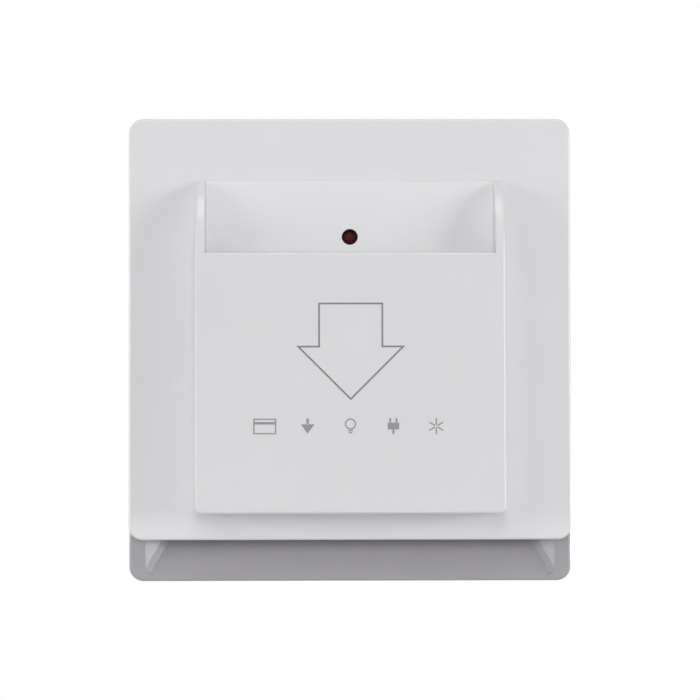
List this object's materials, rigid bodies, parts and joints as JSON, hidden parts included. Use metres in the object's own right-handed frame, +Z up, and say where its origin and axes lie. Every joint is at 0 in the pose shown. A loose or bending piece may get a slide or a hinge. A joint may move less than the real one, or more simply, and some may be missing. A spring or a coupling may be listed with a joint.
{
  "type": "hotel key card switch",
  "caption": "Square wall-mounted key card switch: white clip-on front with a raised card pocket, red lamp, grey base with a pry lip, sensing lever, timer board and screw terminals behind.",
  "frame": {"origin": "on the wall face, midway between the two wall screws", "axes": "+X to the right as seen from the front, +Z up, front towards -Y, the wall face at Y = 0"},
  "size_m": [0.086, 0.0471, 0.09],
  "materials": {
    "front_white": "fine satin",
    "pocket_white": "fine satin",
    "guide_white": "fine satin",
    "screw_steel": "zinc plated",
    "base_grey": "fine satin",
    "housing_white": "satin",
    "board_green": "solder mask",
    "relay_blue": "gloss",
    "tinned_wire": "tinned",
    "film_yellow": "gloss",
    "can_sleeve": "shrink sleeve",
    "disc_blue": "dipped",
    "resistor_tan": "dipped",
    "black_resin": "moulded",
    "lamp_red": "diffused lens",
    "switch_black": "moulded",
    "plunger_ivory": "moulded",
    "lever_white": "moulded",
    "pin_steel": "ground",
    "spring_steel": "drawn wire",
    "terminal_grey": "moulded",
    "bar_brass": "stamped",
    "clamp_steel": "zinc plated"
  },
  "bodies": {
    "base": {"base_frame": "base_grey", "rear_housing": "housing_white", "housing_screws": "screw_steel", "circuit_board": "board_green", "relay_case": "relay_blue", "relay_pins": "tinned_wire", "film_capacitor": "film_yellow", "smoothing_capacitor": "can_sleeve", "surge_varistor": "disc_blue", "resistors": "resistor_tan", "rectifier_diodes": "black_resin", "driver_transistor": "black_resin", "timer_chip": "black_resin", "timer_chip_legs": "tinned_wire", "component_leads": "tinned_wire", "lamp": "lamp_red", "lamp_legs": "tinned_wire", "lamp_spacer": "black_resin", "switch_case": "switch_black", "switch_legs": "tinned_wire", "lever_pin": "pin_steel", "terminal_block": "terminal_grey", "terminal_bars": "bar_brass"},
    "front": {"front_plate": "front_white", "card_pocket": "pocket_white", "card_guide": "guide_white", "guide_screws": "screw_steel"},
    "lever": {"card_lever": "lever_white", "lever_spring": "spring_steel"},
    "plunger": {"switch_plunger": "plunger_ivory"},
    "clamp_screw_1": {"terminal_screw_1": "clamp_steel"},
    "clamp_screw_2": {"terminal_screw_2": "clamp_steel"},
    "clamp_screw_3": {"terminal_screw_3": "clamp_steel"},
    "clamp_cage_1": {"terminal_cage_1": "clamp_steel"},
    "clamp_cage_2": {"terminal_cage_2": "clamp_steel"},
    "clamp_cage_3": {"terminal_cage_3": "clamp_steel"}
  },
  "joints": [
    {"name": "front_pull", "type": "slide", "parent": "base", "child": "front", "axis": [0, -1, 0], "range_m": [0, 0.03]},
    {"name": "lever_swing", "type": "hinge", "parent": "base", "child": "lever", "pos_m": [0, -0.0075, 0.005], "axis": [1, 0, 0], "range_deg": [0, 15], "stiffness_Nm_per_rad": 0.01, "springref_deg": -28.65},
    {"name": "plunger_press", "type": "slide", "parent": "base", "child": "plunger", "axis": [0, 1, 0], "range_m": [0, 0.0013]},
    {"name": "clamp_turn_1", "type": "hinge", "parent": "base", "child": "clamp_screw_1", "pos_m": [-0.01, 0.02, -0.0225], "axis": [0, -1, 0], "range_deg": [0, 2020]},
    {"name": "clamp_turn_2", "type": "hinge", "parent": "base", "child": "clamp_screw_2", "pos_m": [0, 0.02, -0.0225], "axis": [0, -1, 0], "range_deg": [0, 2020]},
    {"name": "clamp_turn_3", "type": "hinge", "parent": "base", "child": "clamp_screw_3", "pos_m": [0.01, 0.02, -0.0225], "axis": [0, -1, 0], "range_deg": [0, 2020]},
    {"name": "clamp_rise_1", "type": "slide", "parent": "base", "child": "clamp_cage_1", "axis": [0, 1, 0], "range_m": [0, 0.0028]},
    {"name": "clamp_rise_2", "type": "slide", "parent": "base", "child": "clamp_cage_2", "axis": [0, 1, 0], "range_m": [0, 0.0028]},
    {"name": "clamp_rise_3", "type": "slide", "parent": "base", "child": "clamp_cage_3", "axis": [0, 1, 0], "range_m": [0, 0.0028]}
  ],
  "couplings": [
    {"joint": "plunger_press", "follows": "lever_swing", "m_per_rad": 0.0045},
    {"joint": "clamp_turn_1", "follows": "clamp_rise_1", "rad_per_m": 12566},
    {"joint": "clamp_turn_2", "follows": "clamp_rise_2", "rad_per_m": 12566},
    {"joint": "clamp_turn_3", "follows": "clamp_rise_3", "rad_per_m": 12566}
  ]
}
